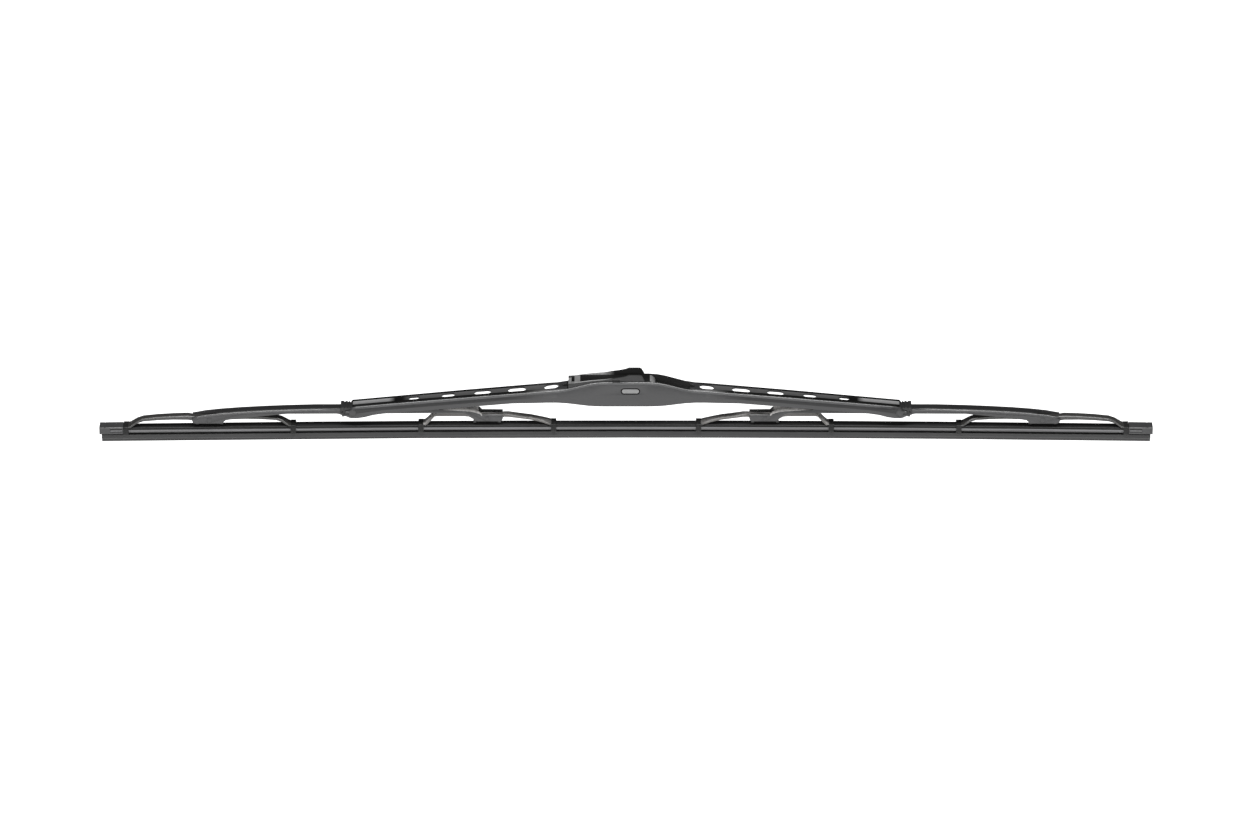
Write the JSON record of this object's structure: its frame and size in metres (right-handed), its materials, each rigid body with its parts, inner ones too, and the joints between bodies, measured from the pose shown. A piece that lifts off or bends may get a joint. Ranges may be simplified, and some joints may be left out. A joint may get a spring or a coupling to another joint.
{
  "type": "wiper blade",
  "caption": "Conventional bracket wiper blade: slotted bridge, rocking levers and claw yokes holding a rubber strip, with a hook-arm adapter.",
  "frame": {"origin": "middle of the adapter's flat seat for the wiper arm's hook, above its pin", "axes": "+X along the blade, +Y across it, +Z away from the glass"},
  "size_m": [0.611, 0.0142, 0.044],
  "materials": {
    "bridge_steel": "satin black coating",
    "lever_steel": "satin black coating",
    "yoke_steel": "satin black coating",
    "rivet_steel": "satin black coating",
    "pin_steel": "plain",
    "adapter_plastic": "fine grain",
    "liner_plastic": "fine grain",
    "cap_plastic": "fine grain",
    "rubber": "matte",
    "rail_steel": "plain"
  },
  "bodies": {
    "adapter": {"arm_adapter": "adapter_plastic"},
    "bridge": {"primary_bridge": "bridge_steel", "adapter_pin": "pin_steel", "lever_rivet_left": "rivet_steel", "lever_rivet_right": "rivet_steel", "rubber_element": "rubber", "rail_front": "rail_steel", "rail_rear": "rail_steel"},
    "lever_left": {"lever_left": "lever_steel", "lever_liner_left": "liner_plastic", "yoke_rivet_outer_left": "rivet_steel", "yoke_rivet_inner_left": "rivet_steel"},
    "yoke_outer_left": {"yoke_outer_left": "yoke_steel", "yoke_liner_outer_left": "liner_plastic", "end_cap_left": "cap_plastic"},
    "yoke_inner_left": {"yoke_inner_left": "yoke_steel", "yoke_liner_inner_left": "liner_plastic"},
    "lever_right": {"lever_right": "lever_steel", "lever_liner_right": "liner_plastic", "yoke_rivet_outer_right": "rivet_steel", "yoke_rivet_inner_right": "rivet_steel"},
    "yoke_outer_right": {"yoke_outer_right": "yoke_steel", "yoke_liner_outer_right": "liner_plastic", "end_cap_right": "cap_plastic"},
    "yoke_inner_right": {"yoke_inner_right": "yoke_steel", "yoke_liner_inner_right": "liner_plastic"}
  },
  "joints": [
    {"name": "adapter_tilt", "type": "hinge", "parent": "adapter", "child": "bridge", "pos_m": [0, 0, -0.004], "axis": [0, 1, 0], "range_deg": [-20, 60]},
    {"name": "lever_left_rock", "type": "hinge", "parent": "bridge", "child": "lever_left", "pos_m": [-0.1585, 0, -0.0196], "axis": [0, 1, 0], "range_deg": [-3, 3], "stiffness_Nm_per_rad": 0.6, "deforming": ["rubber_element", "rail_front", "rail_rear"]},
    {"name": "yoke_outer_left_rock", "type": "hinge", "parent": "lever_left", "child": "yoke_outer_left", "pos_m": [-0.2415, 0, -0.02494], "axis": [0, 1, 0], "range_deg": [-3, 3], "stiffness_Nm_per_rad": 0.25, "deforming": ["rubber_element", "rail_front", "rail_rear"]},
    {"name": "yoke_inner_left_rock", "type": "hinge", "parent": "lever_left", "child": "yoke_inner_left", "pos_m": [-0.0805, 0, -0.0239], "axis": [0, 1, 0], "range_deg": [-3, 3], "stiffness_Nm_per_rad": 0.25, "deforming": ["rubber_element", "rail_front", "rail_rear"]},
    {"name": "lever_right_rock", "type": "hinge", "parent": "bridge", "child": "lever_right", "pos_m": [0.1585, 0, -0.0196], "axis": [0, 1, 0], "range_deg": [-3, 3], "stiffness_Nm_per_rad": 0.6, "deforming": ["rubber_element", "rail_front", "rail_rear"]},
    {"name": "yoke_outer_right_rock", "type": "hinge", "parent": "lever_right", "child": "yoke_outer_right", "pos_m": [0.2415, 0, -0.02494], "axis": [0, 1, 0], "range_deg": [-3, 3], "stiffness_Nm_per_rad": 0.25, "deforming": ["rubber_element", "rail_front", "rail_rear"]},
    {"name": "yoke_inner_right_rock", "type": "hinge", "parent": "lever_right", "child": "yoke_inner_right", "pos_m": [0.0805, 0, -0.0239], "axis": [0, 1, 0], "range_deg": [-3, 3], "stiffness_Nm_per_rad": 0.25, "deforming": ["rubber_element", "rail_front", "rail_rear"]}
  ]
}
